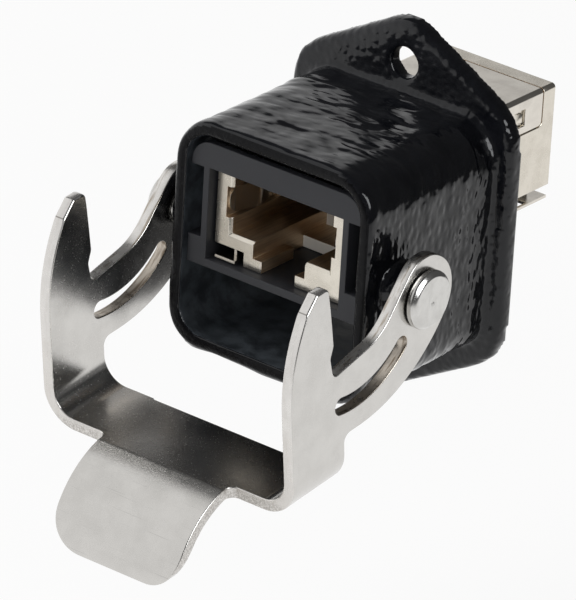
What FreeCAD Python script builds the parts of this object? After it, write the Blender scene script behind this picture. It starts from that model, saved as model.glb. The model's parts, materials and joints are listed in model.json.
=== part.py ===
import FreeCAD, Part
import math
import os

from FreeCAD import Vector

# Panel feedthrough for an eight-way network plug, sizes in millimetres.
# X runs to the right, Y from the mating side to the rear of the panel, Z up.
# The origin is the middle of the flange's rear face, which seats on the panel.

# Square box of the housing
BOX_W = 24.2
BOX_TOP_R = 4.6
BOX_LOW_R = 3.75
BOX_DEPTH = 21.55
WALL = 1.4
CAVITY_R = 3.0
RIM_OUTER_BEVEL = 0.42
RIM_INNER_BEVEL = 0.25

# Flange of the housing: a ledge round the box and two screw lugs
FLANGE_T = 1.8
FLANGE_LEDGE = 1.65
FLANGE_ROOT_BEVEL = 0.4
FLANGE_EDGE_BEVEL = 0.45
SCREW_OFFSET = 2.9
SCREW_HOLE_D = 3.2
LUG_REACH = 5.3
LUG_SLOPE_DEG = 29.0
LUG_TIP_R = 4.5
LUG_SHOULDER_R = 5.5

# Flat seal let into the flange's rear face, on the box wall's line
SEAL_W = 1.0
SEAL_DEPTH = 0.9
SEAL_OFFSET = 0.55

# Pivot of the locking lever
PIVOT_SETBACK = 4.65
BOSS_D = 4.9
BOSS_H = 2.1
PIN_SHANK_D = 2.8
PIN_SINK = 2.9
PIN_JOURNAL_D = 3.7
PIN_HEAD_D = 6.0
PIN_HEAD_H = 0.95
PIN_HEAD_BEVEL = 0.4
PIN_DIMPLE_D = 1.1
PIN_DIMPLE_H = 0.15
JOURNAL_GAP = 0.05
SIDE_PLAY = 0.18

# Locking lever: a stamped and bent sheet, drawn closed, from the pivot forwards and up
LEVER_T = 1.25
LEVER_OPEN_DEG = 7.5
EYE_R = 4.4
ARM_LOW = 9.25
ARM_BACK_DEG = 49.7
ARM_HEEL_SHARE = 0.98
PLATE_REAR = 12.55
PLATE_FRONT = 20.3
PLATE_CORNER_R = 0.9
FINGER_TOP = 7.95
FINGER_LEAN_DEG = 28.7
FINGER_BEND_H = 1.25
FINGER_BEND_R = 18.0
FINGER_CREASE_H = 6.55
FINGER_TIP_LEAN_DEG = 46.5
FINGER_TIP_BACK = 14.15
FINGER_TIP_R = 0.7
FINGER_TIP_EDGE_R = 0.4
CATCH_BUMP = (13.72, 1.35)
CATCH_SEAT = (14.25, 0.1)
CATCH_ROOT = (13.9, -2.2)
CATCH_R = 0.7
ARM_TOP_DEG = 45.0
ARM_TOP_REACH = 3.9
ARM_BEND_AT = 6.6
ARM_BEND_R = 6.3
SLOT_CENTRE = (10.6, 5.0)
SLOT_R = 11.0
SLOT_W = 1.75
SLOT_FRONT_DEG = 12.0
SLOT_REAR_DEG = 39.5
WEB_DROP = 13.8
WEB_BEND_R = 2.6
WEB_TRIM_W = 16.4
WEB_TRIM = 0.15
TAB_W = 15.6
TAB_ROOT_R = 0.9
TAB_RUN = 0.05
TAB_BEND_R = 1.8
TAB_BEND_DEG = 12.8
TAB_R = 10.2
TAB_TURN_DEG = 65.3
TAB_CORNER_R = 3.7

# Plastic insert that carries the jack in the housing
INSERT_GAP = 0.15
INSERT_SETBACK = 0.8
INSERT_FRAME_L = 3.0
INSERT_TOP_GAP = 0.95
INSERT_CORNER_R = 2.4
BAR_LOW = 7.05
BAR_T = 0.85
POST_T = 0.75
FLOOR_T = 0.9
WING_TOP = -0.45
SIDE_SLOT_TOP = 6.95
INSERT_END = 1.2
BAY_GAP = 0.05
BAY_SIDE_GAP = 0.25

# Jack mouth, the same at the front and at the rear
SHELL_SETBACK = 1.85
MOUTH_W = 12.1
SHELF_Z = 0.48
TUNNEL_TOP = 8.3
LATCH_W = 6.4
LATCH_DROP = 1.73
LATCH_L = 11.5
LIP_GAP = 4.1
LIP_DROP = 1.25
LIP_L = 5.0
LATCH_SLOT_L = 7.9
MOUTH_BEVEL = 0.3
SHELL_EDGE_R = 0.45

# Coupler shells, joined back to back
SHELL_WALL = 1.95
REAR_STEP = 0.7
FRONT_ROOF_T = 0.9
FRONT_SHELF_T = 1.48
FRONT_KEY_W = 3.65
REAR_TOP_GAP = 0.3
REAR_SHELF_T = 1.0
REAR_KEY_W = 3.3
JOINT_DEPTH = 3.2
TAIL = 14.0

# Folded shield on the rear shell
SHIELD_T = 0.3
SHIELD_SETBACK = 2.0
SHIELD_SIDE_H = 3.9
SHIELD_SEAM = 0.14
SHIELD_CORNER_R = 0.5
SHIELD_L = 14.0
WINDOW_L = 1.8
WINDOW_H = 1.8
WINDOW_SETBACK = 4.8
WINDOW_TOP = 1.3
NUB_T = 0.25
NUB_GAP = 0.4

# Latch tongue of each shell, a folded strip in the shell's key
TONGUE_T = 0.3
TONGUE_Z = -2.3
TONGUE_W = 2.45
TONGUE_HEM = 0.35
TONGUE_L = 14.0
TONGUE_OUT = 0.45
TONGUE_UPRIGHT_SETBACK = 0.3
TONGUE_EDGE = 0.5
TONGUE_WINDOW_L = 2.2
TONGUE_WINDOW_SETBACK = 2.6

# Side springs in the mouth
SPRING_LOW = 2.1
SPRING_HIGH = 5.3
SPRING_SLOT = 0.7
SPRING_L = 8.0
SPRING_T = 0.2
SPRING_BOW = 0.9
SPRING_EDGE = 0.25
SPRING_FOOT = 0.8
SPRING_FOOT_R = 1.0
SPRING_CREST_R = 1.5
SPRING_TIP_R = 1.2

# Contact carriers, contacts and the board between them
CARRIER_GAP = 0.04
CARRIER_SETBACK = 0.9
SLAB_LOW = 7.0
CARRIER_WALL_L = 3.0
BOARD_T = 1.0
CONTACTS = 8
CONTACT_PITCH = 1.02
CONTACT_W = 0.5
CONTACT_T = 0.35
CONTACT_GROOVE_H = 0.7
CONTACT_GAP = 0.04
CONTACT_FRONT = 1.5
CONTACT_TIP_Y = 8.4
CONTACT_TIP_Z = 5.2
CONTACT_BEND_R = 0.5

# Places worked out from the sizes above
CAVITY_W = BOX_W - 2 * WALL
FLANGE_W = BOX_W + 2 * FLANGE_LEDGE
SCREW_PITCH = BOX_W + 2 * SCREW_OFFSET
LUG_CORNER = SCREW_PITCH / 2 + LUG_REACH
PIVOT_Y = PIVOT_SETBACK - BOX_DEPTH
BOSS_FACE = BOX_W / 2 + BOSS_H
LEVER_INNER = BOSS_FACE + SIDE_PLAY
LEVER_OUTER = LEVER_INNER + LEVER_T
HEAD_FACE = LEVER_OUTER + SIDE_PLAY
TAB_START = PLATE_FRONT + TAB_ROOT_R + TAB_RUN
INSERT_Y = INSERT_SETBACK - BOX_DEPTH
INSERT_W = CAVITY_W - 2 * INSERT_GAP
INSERT_TOP = CAVITY_W / 2 - INSERT_TOP_GAP
SHELL_Y = SHELL_SETBACK - BOX_DEPTH
SHELL_LOW = SHELF_Z - LATCH_DROP - LIP_DROP
FRONT_SHELL_W = MOUTH_W + 2 * SHELL_WALL
FRONT_SHELL_TOP = TUNNEL_TOP + FRONT_ROOF_T
REAR_SHELL_W = FRONT_SHELL_W - 2 * REAR_STEP
REAR_SHELL_TOP = CAVITY_W / 2 - REAR_TOP_GAP
BAY_W = FRONT_SHELL_W + 2 * BAY_SIDE_GAP
BAY_LOW = SHELL_LOW - BAY_GAP
FRONT_SHELL_L = -JOINT_DEPTH - SHELL_Y
REAR_SHELL_L = TAIL + JOINT_DEPTH

OVER = 1.0
TINY = 1e-6
SAME = 1e-4
X_AXIS = Vector(1, 0, 0)
Y_AXIS = Vector(0, 1, 0)
Z_AXIS = Vector(0, 0, 1)
ORIGIN = Vector(0, 0, 0)


def block(x0, x1, y0, y1, z0, z1):
    return Part.makeBox(x1 - x0, y1 - y0, z1 - z0, Vector(x0, y0, z0))


def both_sides(x0, x1, y0, y1, z0, z1):
    """The same block on the right and on the left."""
    return [block(x0, x1, y0, y1, z0, z1), block(-x1, -x0, y0, y1, z0, z1)]


def outline(corners, place, closed=True):
    """Lines through the corners (u, v, radius), with an arc at each corner that has a radius."""
    count = len(corners)
    stops = []
    for i, (u, v, radius) in enumerate(corners):
        here = Vector(u, v, 0)
        if radius == 0 or (not closed and i in (0, count - 1)):
            stops.append((here, None, here))
            continue
        back = (Vector(*corners[i - 1][:2], 0) - here).normalize()
        ahead = (Vector(*corners[(i + 1) % count][:2], 0) - here).normalize()
        half = back.getAngle(ahead) / 2
        reach = radius / math.tan(half)
        middle = (back + ahead).normalize() * (radius / math.sin(half) - radius)
        stops.append((here + back * reach, here + middle, here + ahead * reach))
    edges = []
    for i, (start, middle, end) in enumerate(stops):
        if middle is not None:
            edges.append(Part.Arc(*[place(p.x, p.y) for p in (start, middle, end)]).toShape())
        if i == count - 1 and not closed:
            break
        onward = stops[(i + 1) % count][0]
        if (onward - end).Length > TINY:
            edges.append(Part.LineSegment(place(end.x, end.y), place(onward.x, onward.y)).toShape())
    return edges


def prism(corners, place, along):
    return Part.Face(Part.Wire(outline(corners, place))).extrude(along)


def rounded_block(width, low_r, top_r, y0, y1):
    """A square block along Y with its long edges rounded, the lower pair and the upper pair."""
    half = width / 2
    corners = [(-half, -half, low_r), (half, -half, low_r), (half, half, top_r), (-half, half, top_r)]
    return prism(corners, lambda x, z: Vector(x, y0, z), Y_AXIS * (y1 - y0))


def square_tube(outer, inner, radius, y0, y1):
    """A square ring along Y, the inner corners rounded to suit the wall."""
    wall = (outer - inner) / 2
    tube = rounded_block(outer, radius, radius, y0, y1)
    return tube.cut(rounded_block(inner, radius - wall, radius - wall, y0 - OVER, y1 + OVER))


def rod(diameter, x0, x1, y, z):
    return Part.makeCylinder(diameter / 2, x1 - x0, Vector(x0, y, z), X_AXIS)


def edges_at(shape, y, reach_x, reach_z):
    """Edges that lie in one plane across Y, inside a reach from the middle."""
    found = []
    for edge in shape.Edges:
        box = edge.BoundBox
        flat = abs(box.YMin - y) < SAME and abs(box.YMax - y) < SAME
        if flat and max(-box.XMin, box.XMax) < reach_x and max(-box.ZMin, box.ZMax) < reach_z:
            found.append(edge)
    return found


def mirrored(shape):
    return shape.mirror(ORIGIN, X_AXIS)


def make_flange():
    half = FLANGE_W / 2
    shoulder = LUG_CORNER - half * math.tan(math.radians(LUG_SLOPE_DEG))
    corners = [
        (half, -shoulder, LUG_SHOULDER_R),
        (half, shoulder, LUG_SHOULDER_R),
        (0, LUG_CORNER, LUG_TIP_R),
        (-half, shoulder, LUG_SHOULDER_R),
        (-half, -shoulder, LUG_SHOULDER_R),
        (0, -LUG_CORNER, LUG_TIP_R),
    ]
    plate = prism(corners, lambda x, z: Vector(x, -FLANGE_T, z), Y_AXIS * FLANGE_T)
    return plate.makeChamfer(FLANGE_EDGE_BEVEL, edges_at(plate, -FLANGE_T, 2 * LUG_CORNER, 2 * LUG_CORNER))


def make_housing():
    half = BOX_W / 2
    box = rounded_block(BOX_W, BOX_LOW_R, BOX_TOP_R, -BOX_DEPTH, -FLANGE_T / 2)
    box = box.makeChamfer(RIM_OUTER_BEVEL, edges_at(box, -BOX_DEPTH, BOX_W, BOX_W))
    body = box.fuse(make_flange()).removeSplitter()
    body = body.makeChamfer(FLANGE_ROOT_BEVEL, edges_at(body, -FLANGE_T, half + TINY, half + TINY))
    boss = rod(BOSS_D, half - WALL / 2, BOSS_FACE, PIVOT_Y, 0)
    body = body.fuse([boss, mirrored(boss)])
    cavity = rounded_block(CAVITY_W, CAVITY_R, CAVITY_R, -BOX_DEPTH - OVER, OVER)
    body = body.cut(cavity)
    mouth = half - WALL + TINY
    body = body.makeChamfer(RIM_INNER_BEVEL, edges_at(body, -BOX_DEPTH, mouth, mouth))
    sink = rod(PIN_SHANK_D, BOSS_FACE - PIN_SINK, BOSS_FACE + OVER, PIVOT_Y, 0)
    holes = [sink, mirrored(sink), make_seal()]
    for side in (-1, 1):
        start = Vector(0, -FLANGE_T - OVER, side * SCREW_PITCH / 2)
        holes.append(Part.makeCylinder(SCREW_HOLE_D / 2, FLANGE_T + 2 * OVER, start, Y_AXIS))
    return body.cut(holes)


def make_seal():
    inner = CAVITY_W + 2 * SEAL_OFFSET
    return square_tube(inner + 2 * SEAL_W, inner, CAVITY_R + SEAL_OFFSET + SEAL_W, -SEAL_DEPTH, 0)


def make_pin():
    """Right-hand pivot pin: a pressed shank, the lever's journal and a turned head."""
    shank = rod(PIN_SHANK_D, BOSS_FACE - PIN_SINK, BOSS_FACE + TINY, PIVOT_Y, 0)
    journal = rod(PIN_JOURNAL_D, BOSS_FACE, HEAD_FACE + TINY, PIVOT_Y, 0)
    top = HEAD_FACE + PIN_HEAD_H
    head = rod(PIN_HEAD_D, HEAD_FACE, top, PIVOT_Y, 0)
    head = head.makeChamfer(PIN_HEAD_BEVEL, [edge for edge in head.Edges if edge.BoundBox.XMin > top - SAME])
    dimple = Part.makeCone(0, PIN_DIMPLE_D / 2, PIN_DIMPLE_H, Vector(top - PIN_DIMPLE_H, PIVOT_Y, 0), X_AXIS)
    return shank.fuse([journal, head]).removeSplitter().cut(dimple)


def on_eye(degrees):
    """A point of the lever's eye, as (forward, up), counted from straight up towards the rear."""
    turn = math.radians(degrees)
    return -EYE_R * math.sin(turn), EYE_R * math.cos(turn)


def side_plate():
    """Outline of one side of the lever, from the pivot: forward and up."""
    def place(forward, up):
        return Vector(LEVER_INNER, -forward, up)

    rise = math.tan(math.radians(ARM_BACK_DEG))
    leave = on_eye(180 - ARM_BACK_DEG)
    low_corner = leave[0] + (leave[1] + ARM_LOW) / rise
    reach = math.hypot(low_corner - leave[0], leave[1] + ARM_LOW)
    low_radius = ARM_HEEL_SHARE * reach / math.tan(math.radians(ARM_BACK_DEG) / 2)
    web_end = WEB_BEND_R - WEB_DROP
    lean = math.tan(math.radians(FINGER_LEAN_DEG))
    tip_lean = math.tan(math.radians(FINGER_TIP_LEAN_DEG))
    crease = PLATE_FRONT - (FINGER_CREASE_H - FINGER_BEND_H) * lean
    tip_front = crease - (FINGER_TOP - FINGER_CREASE_H) * tip_lean
    top_turn = math.radians(ARM_TOP_DEG)
    bend_up = (ARM_TOP_REACH - ARM_BEND_AT * math.sin(top_turn)) / math.cos(top_turn)
    meet = math.degrees(math.acos(ARM_TOP_REACH / EYE_R)) - ARM_TOP_DEG
    corners = [
        (*leave, 0),
        (low_corner, -ARM_LOW, low_radius),
        (PLATE_REAR, -ARM_LOW, PLATE_CORNER_R),
        (PLATE_REAR, web_end, 0),
        (PLATE_FRONT, web_end, 0),
        (PLATE_FRONT, FINGER_BEND_H, FINGER_BEND_R),
        (crease, FINGER_CREASE_H, 0),
        (tip_front, FINGER_TOP, FINGER_TIP_EDGE_R),
        (FINGER_TIP_BACK, FINGER_TOP, FINGER_TIP_R),
        (*CATCH_BUMP, CATCH_R),
        (*CATCH_SEAT, CATCH_R),
        (*CATCH_ROOT, CATCH_R),
        (ARM_BEND_AT, bend_up, ARM_BEND_R),
        (*on_eye(meet), 0),
    ]
    edges = outline(corners, place, closed=False)
    eye = [place(*on_eye(meet)), place(-EYE_R, 0), place(*leave)]
    edges.append(Part.Arc(*eye).toShape())
    plate = Part.Face(Part.Wire(edges)).extrude(X_AXIS * LEVER_T)
    hole = rod(PIN_JOURNAL_D + 2 * JOURNAL_GAP, LEVER_INNER - OVER, LEVER_OUTER + OVER, 0, 0)
    return plate.cut([hole, arm_slot()])


def arm_slot():
    """Curved slot through one arm, with round ends."""
    def at(radius, degrees):
        turn = math.radians(degrees)
        forward = SLOT_CENTRE[0] + radius * math.sin(turn)
        up = SLOT_CENTRE[1] - radius * math.cos(turn)
        return Vector(LEVER_INNER - OVER, -forward, up)

    inner = SLOT_R - SLOT_W / 2
    outer = SLOT_R + SLOT_W / 2
    front = SLOT_FRONT_DEG
    rear = -SLOT_REAR_DEG
    middle = (front + rear) / 2
    cap = math.degrees(SLOT_W / 2 / SLOT_R)
    edges = [
        Part.Arc(at(inner, front), at(inner, middle), at(inner, rear)).toShape(),
        Part.Arc(at(inner, rear), at(SLOT_R, rear - cap), at(outer, rear)).toShape(),
        Part.Arc(at(outer, rear), at(outer, middle), at(outer, front)).toShape(),
        Part.Arc(at(outer, front), at(SLOT_R, front + cap), at(inner, front)).toShape(),
    ]
    return Part.Face(Part.Wire(edges)).extrude(X_AXIS * (LEVER_T + 2 * OVER))


def make_web():
    """Cross web under the jack, with its bends up into both side plates."""
    def place(x, z):
        return Vector(x, -PLATE_FRONT, z)

    top = -WEB_DROP
    start = top + WEB_BEND_R
    under = top - LEVER_T
    outer_r = WEB_BEND_R + LEVER_T
    corners = [
        (LEVER_OUTER, start, 0),
        (LEVER_OUTER, under, outer_r),
        (-LEVER_OUTER, under, outer_r),
        (-LEVER_OUTER, start, 0),
        (-LEVER_INNER, start, 0),
        (-LEVER_INNER, top, WEB_BEND_R),
        (LEVER_INNER, top, WEB_BEND_R),
        (LEVER_INNER, start, 0),
    ]
    web = prism(corners, place, Y_AXIS * (PLATE_FRONT - PLATE_REAR))
    trim = WEB_TRIM_W / 2
    rear = -PLATE_REAR
    return web.cut(block(-trim, trim, rear - WEB_TRIM, rear + OVER, under - OVER, top + OVER))


def make_tab():
    """Thumb tab: a strip that bends off the web and rolls downwards, with a rounded end."""
    half = TAB_W / 2

    def at(centre, radius, degrees):
        turn = math.radians(degrees)
        return centre + Vector(0, -radius * math.sin(turn), radius * math.cos(turn))

    def arc(centre, radius, first, last):
        stops = (first, (first + last) / 2, last)
        return Part.Arc(*[at(centre, radius, degrees) for degrees in stops]).toShape()

    bend = Vector(-half, -TAB_START, -WEB_DROP - TAB_BEND_R)
    roll = at(bend, TAB_BEND_R - TAB_R, TAB_BEND_DEG)
    turned = TAB_BEND_DEG + TAB_TURN_DEG
    tip = at(roll, TAB_R, turned)
    tip_low = at(roll, TAB_R - LEVER_T, turned)
    root_top = Vector(-half, -PLATE_FRONT + OVER, -WEB_DROP)
    root_low = root_top - Z_AXIS * LEVER_T
    edges = [
        Part.LineSegment(root_top, at(bend, TAB_BEND_R, 0)).toShape(),
        arc(bend, TAB_BEND_R, 0, TAB_BEND_DEG),
        arc(roll, TAB_R, TAB_BEND_DEG, turned),
        Part.LineSegment(tip, tip_low).toShape(),
        arc(roll, TAB_R - LEVER_T, turned, TAB_BEND_DEG),
        arc(bend, TAB_BEND_R - LEVER_T, TAB_BEND_DEG, 0),
        Part.LineSegment(at(bend, TAB_BEND_R - LEVER_T, 0), root_low).toShape(),
        Part.LineSegment(root_low, root_top).toShape(),
    ]
    strip = Part.Face(Part.Wire(edges)).extrude(X_AXIS * TAB_W)
    end = tip.z
    corners = [
        (-half, end, TAB_CORNER_R),
        (half, end, TAB_CORNER_R),
        (half, 0, 0),
        (-half, 0, 0),
    ]
    front = -TAB_START - TAB_R - OVER
    keep = prism(corners, lambda x, z: Vector(x, front, z), Y_AXIS * (2 * TAB_R + 2 * OVER))
    return strip.common(keep)


def root_edges(shape):
    """The upright edges where the tab leaves the web."""
    found = []
    for edge in shape.Edges:
        box = edge.BoundBox
        upright = box.XLength < SAME and box.YLength < SAME
        beside_tab = abs(abs(box.XMin) - TAB_W / 2) < SAME
        if upright and beside_tab and abs(box.YMin + PLATE_FRONT) < SAME:
            found.append(edge)
    return found


def make_lever():
    plate = side_plate()
    lever = make_web().fuse([plate, mirrored(plate), make_tab()]).removeSplitter()
    lever = lever.makeFillet(TAB_ROOT_R, root_edges(lever))
    lever.rotate(ORIGIN, X_AXIS, LEVER_OPEN_DEG)
    lever.translate(Vector(0, PIVOT_Y, 0))
    return lever


def make_insert():
    """Frame with a top bar, posts, side slots and wings, and a bay behind it for the jack."""
    half = INSERT_W / 2
    low = BAY_LOW - FLOOR_T
    bay = BAY_W / 2
    post = bay + POST_T
    frame_end = INSERT_Y + INSERT_FRAME_L
    corners = [
        (-half, low, 0),
        (half, low, 0),
        (half, INSERT_TOP, INSERT_CORNER_R),
        (-half, INSERT_TOP, INSERT_CORNER_R),
    ]
    frame = prism(corners, lambda x, z: Vector(x, INSERT_Y, z), Y_AXIS * INSERT_FRAME_L)
    walls = both_sides(bay, post, frame_end, -INSERT_END, low, CAVITY_W / 2 - CAVITY_R)
    floor = block(-post, post, frame_end, -INSERT_END, low, BAY_LOW)
    body = frame.fuse(walls + [floor])
    cuts = both_sides(post, half + OVER, INSERT_Y - OVER, frame_end + OVER, WING_TOP, SIDE_SLOT_TOP)
    cuts.append(block(-bay, bay, INSERT_Y - OVER, frame_end, BAY_LOW, BAR_LOW))
    cuts.append(block(-bay, bay, INSERT_Y + BAR_T, frame_end, BAR_LOW - TINY, INSERT_TOP + OVER))
    return body.cut(cuts).removeSplitter()


def make_shell(width, top, shelf_t, key_w, length):
    """Jack shell with its mouth at Y = 0, facing -Y, and a tunnel right through it."""
    half = width / 2
    mouth = MOUTH_W / 2
    step = SHELF_Z - LATCH_DROP
    solid = block(-half, half, 0, length, SHELL_LOW, top)
    long_top = [
        edge for edge in solid.Edges
        if edge.BoundBox.YLength > length / 2 and edge.BoundBox.ZMin > top - SAME
    ]
    solid = solid.makeFillet(SHELL_EDGE_R, long_top)
    tunnel = block(-mouth, mouth, -OVER, length + OVER, SHELF_Z, TUNNEL_TOP)
    cuts = [
        block(-LATCH_W / 2, LATCH_W / 2, -OVER, LATCH_L, step, SHELF_Z + TINY),
        block(-LIP_GAP / 2, LIP_GAP / 2, -OVER, LIP_L + TINY, SHELL_LOW - OVER, step + TINY),
        block(-LATCH_W / 2, LATCH_W / 2, LIP_L, LATCH_SLOT_L, SHELL_LOW - OVER, step + TINY),
        block(-half - OVER, key_w - half, -OVER, length + OVER, SHELL_LOW - OVER, SHELF_Z - shelf_t),
    ]
    cuts += both_sides(mouth - TINY, mouth + SPRING_SLOT, -OVER, SPRING_L, SPRING_LOW, SPRING_HIGH)
    shell = solid.cut([tunnel] + cuts).removeSplitter()
    rim = [edge for edge in edges_at(shell, 0, mouth + SAME, top) if on_mouth(edge)]
    return shell.makeChamfer(MOUTH_BEVEL, rim)


def on_mouth(edge):
    """True for the mouth's straight sides: the walls, the shelves and the latch steps."""
    box = edge.BoundBox
    wall = abs(abs(box.XMin) - MOUTH_W / 2) < SAME and box.XLength < SAME
    shelf = box.ZLength < SAME and abs(box.ZMin - SHELF_Z) < SAME
    return (wall and box.ZMax > SPRING_HIGH + TINY) or (wall and box.ZMin < SPRING_LOW) or shelf


def shield_shape(width, top, drop, y0, y1, corner_r):
    """A channel over a shell: its top and the upper part of both sides, rounded at the mouth's end."""
    half = width / 2
    corners = [
        (-half, top - drop, 0),
        (half, top - drop, 0),
        (half, top, SHELL_EDGE_R),
        (-half, top, SHELL_EDGE_R),
    ]
    outer = prism(corners, lambda x, z: Vector(x, y0, z), Y_AXIS * (y1 - y0))
    inner = SHELL_EDGE_R - SHIELD_T
    corners = [
        (-half + SHIELD_T, top - drop - OVER, 0),
        (half - SHIELD_T, top - drop - OVER, 0),
        (half - SHIELD_T, top - SHIELD_T, inner),
        (-half + SHIELD_T, top - SHIELD_T, inner),
    ]
    inside = prism(corners, lambda x, z: Vector(x, y0 - OVER, z), Y_AXIS * (y1 - y0 + 2 * OVER))
    side = [(y0, top - drop, corner_r), (y1, top - drop, 0), (y1, top, 0), (y0, top, 0)]
    return outer.cut(inside).common(prism(side, lambda y, z: Vector(-half, y, z), X_AXIS * width))


def shield_windows(inset):
    """Openings in the shield's sides, or the nubs that fill them when set in from their edges."""
    y0 = WINDOW_SETBACK + inset
    y1 = WINDOW_SETBACK + WINDOW_L - inset
    z1 = REAR_SHELL_TOP - WINDOW_TOP - inset
    z0 = REAR_SHELL_TOP - WINDOW_TOP - WINDOW_H + inset
    return y0, y1, z0, z1


def make_rear_shell():
    """Rear shell: a recess takes the folded shield, and wedge nubs hold it."""
    shell = make_shell(REAR_SHELL_W, REAR_SHELL_TOP, REAR_SHELF_T, REAR_KEY_W, REAR_SHELL_L)
    y0 = SHIELD_SETBACK - SHIELD_SEAM
    y1 = SHIELD_SETBACK + SHIELD_L + SHIELD_SEAM
    corner_r = SHIELD_CORNER_R + SHIELD_SEAM
    recess = shield_shape(REAR_SHELL_W, REAR_SHELL_TOP, SHIELD_SIDE_H + SHIELD_SEAM, y0, y1, corner_r)
    seat = REAR_SHELL_W / 2 - SHIELD_T
    low_y, high_y, low_z, high_z = shield_windows(NUB_GAP)
    corners = [(seat - TINY, low_y, 0), (seat + NUB_T, low_y, 0), (seat - TINY, high_y, 0)]
    nub = prism(corners, lambda x, y: Vector(x, y, low_z), Z_AXIS * (high_z - low_z))
    return shell.cut(recess).fuse([nub, mirrored(nub)]).removeSplitter()


def make_shield():
    y1 = SHIELD_SETBACK + SHIELD_L
    sheet = shield_shape(REAR_SHELL_W, REAR_SHELL_TOP, SHIELD_SIDE_H, SHIELD_SETBACK, y1, SHIELD_CORNER_R)
    half = REAR_SHELL_W / 2
    return sheet.cut(both_sides(half - 2 * SHIELD_T, half + OVER, *shield_windows(0)))


def make_tongue(width, shelf_t):
    """Folded strip in the shell's key, its upright under the shelf and a narrow hem beside it."""
    outer = -width / 2 + TONGUE_EDGE
    inner = outer + TONGUE_W
    face = inner - TONGUE_HEM
    flat = block(outer, inner, -TONGUE_OUT, TONGUE_L, TONGUE_Z, TONGUE_Z + TONGUE_T)
    upright = block(face - TONGUE_T, face, TONGUE_UPRIGHT_SETBACK, TONGUE_L, TONGUE_Z, SHELF_Z - shelf_t)
    start = TONGUE_WINDOW_SETBACK
    end = start + TONGUE_WINDOW_L
    window = block(outer + TONGUE_T, face - 2 * TONGUE_T, start, end, TONGUE_Z - OVER, 0)
    return flat.fuse(upright).removeSplitter().cut(window)


def ribbon(corners, place, across, width, thickness, thin):
    """A strip of sheet or wire along an open path of lines and arcs."""
    edges = outline(corners, place, closed=False)
    start = place(*corners[0][:2])
    side = across * (width / 2)
    rise = thin * (thickness / 2)
    ring = [start - side - rise, start + side - rise, start + side + rise, start - side + rise]
    section = Part.makePolygon(ring + ring[:1])
    return Part.Wire(edges).makePipeShell([section], True, False)


def make_spring():
    """Bowed grounding spring in the mouth's right side, with a round end at the front."""
    wall = MOUTH_W / 2 + SPRING_SLOT - SPRING_T / 2
    start = SPRING_EDGE
    end = SPRING_L - SPRING_EDGE
    bow_start = start + SPRING_FOOT
    bow_end = end - SPRING_FOOT
    crest = wall - SPRING_BOW
    middle = (start + end) / 2
    corners = [
        (wall, start, 0),
        (wall, bow_start, SPRING_FOOT_R),
        (crest, middle, SPRING_CREST_R),
        (wall, bow_end, SPRING_FOOT_R),
        (wall, end, 0),
    ]
    height = (SPRING_LOW + SPRING_HIGH) / 2
    width = SPRING_HIGH - SPRING_LOW - 2 * SPRING_EDGE
    strip = ribbon(corners, lambda x, y: Vector(x, y, height), Z_AXIS, width, SPRING_T, X_AXIS)
    low = height - width / 2
    high = height + width / 2
    side = [(start, low, SPRING_TIP_R), (end, low, 0), (end, high, 0), (start, high, SPRING_TIP_R)]
    return strip.common(prism(side, lambda y, z: Vector(0, y, z), X_AXIS * MOUTH_W))


def contact_x(index):
    return (index - (CONTACTS - 1) / 2) * CONTACT_PITCH


def make_carrier(length):
    """Contact block: a grooved slab over the mouth and a wall at the tunnel's end."""
    half = MOUTH_W / 2 - CARRIER_GAP
    end = length - BOARD_T / 2
    wall = end - CARRIER_WALL_L
    top = TUNNEL_TOP - CARRIER_GAP
    slab = block(-half, half, CARRIER_SETBACK, end, SLAB_LOW, top)
    back = block(-half, half, wall, end, SHELF_Z + CARRIER_GAP, SLAB_LOW + TINY)
    grooves = []
    for index in range(CONTACTS):
        reach = CONTACT_W / 2 + CONTACT_GAP
        x = contact_x(index)
        high = SLAB_LOW + CONTACT_GROOVE_H
        grooves.append(block(x - reach, x + reach, CARRIER_SETBACK - OVER, wall, SLAB_LOW - OVER, high))
    return slab.fuse(back).removeSplitter().cut(grooves)


def make_contact(index, length):
    """Spring contact: along its groove, round a tight bend and back down into the mouth."""
    x = contact_x(index)
    run = SLAB_LOW + CONTACT_GROOVE_H - CONTACT_GAP - CONTACT_T / 2
    end = length - BOARD_T / 2 - CARRIER_WALL_L
    corners = [
        (end, run, 0),
        (CONTACT_FRONT, run, CONTACT_BEND_R),
        (CONTACT_TIP_Y, CONTACT_TIP_Z, 0),
    ]
    return ribbon(corners, lambda y, z: Vector(x, y, z), X_AXIS, CONTACT_W, CONTACT_T, Z_AXIS)


def make_board():
    half = MOUTH_W / 2 - CARRIER_GAP
    y0 = -JOINT_DEPTH - BOARD_T / 2
    return block(-half, half, y0, y0 + BOARD_T, SHELF_Z + CARRIER_GAP, TUNNEL_TOP - CARRIER_GAP)


def at_front(shape):
    return shape.translated(Y_AXIS * SHELL_Y)


def at_rear(shape):
    turned = shape.copy()
    turned.rotate(ORIGIN, Z_AXIS, 180)
    return turned.translated(Y_AXIS * TAIL)


def jack_half(name, place, length, width, shelf_t):
    """The pieces that each half of the coupler holds, in their places."""
    spring = make_spring()
    pieces = {
        name + "_tongue": place(make_tongue(width, shelf_t)),
        name + "_spring_right": place(spring),
        name + "_spring_left": place(mirrored(spring)),
        name + "_carrier": place(make_carrier(length)),
    }
    for index in range(CONTACTS):
        pieces[f"{name}_contact_{index + 1}"] = place(make_contact(index, length))
    return pieces


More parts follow.
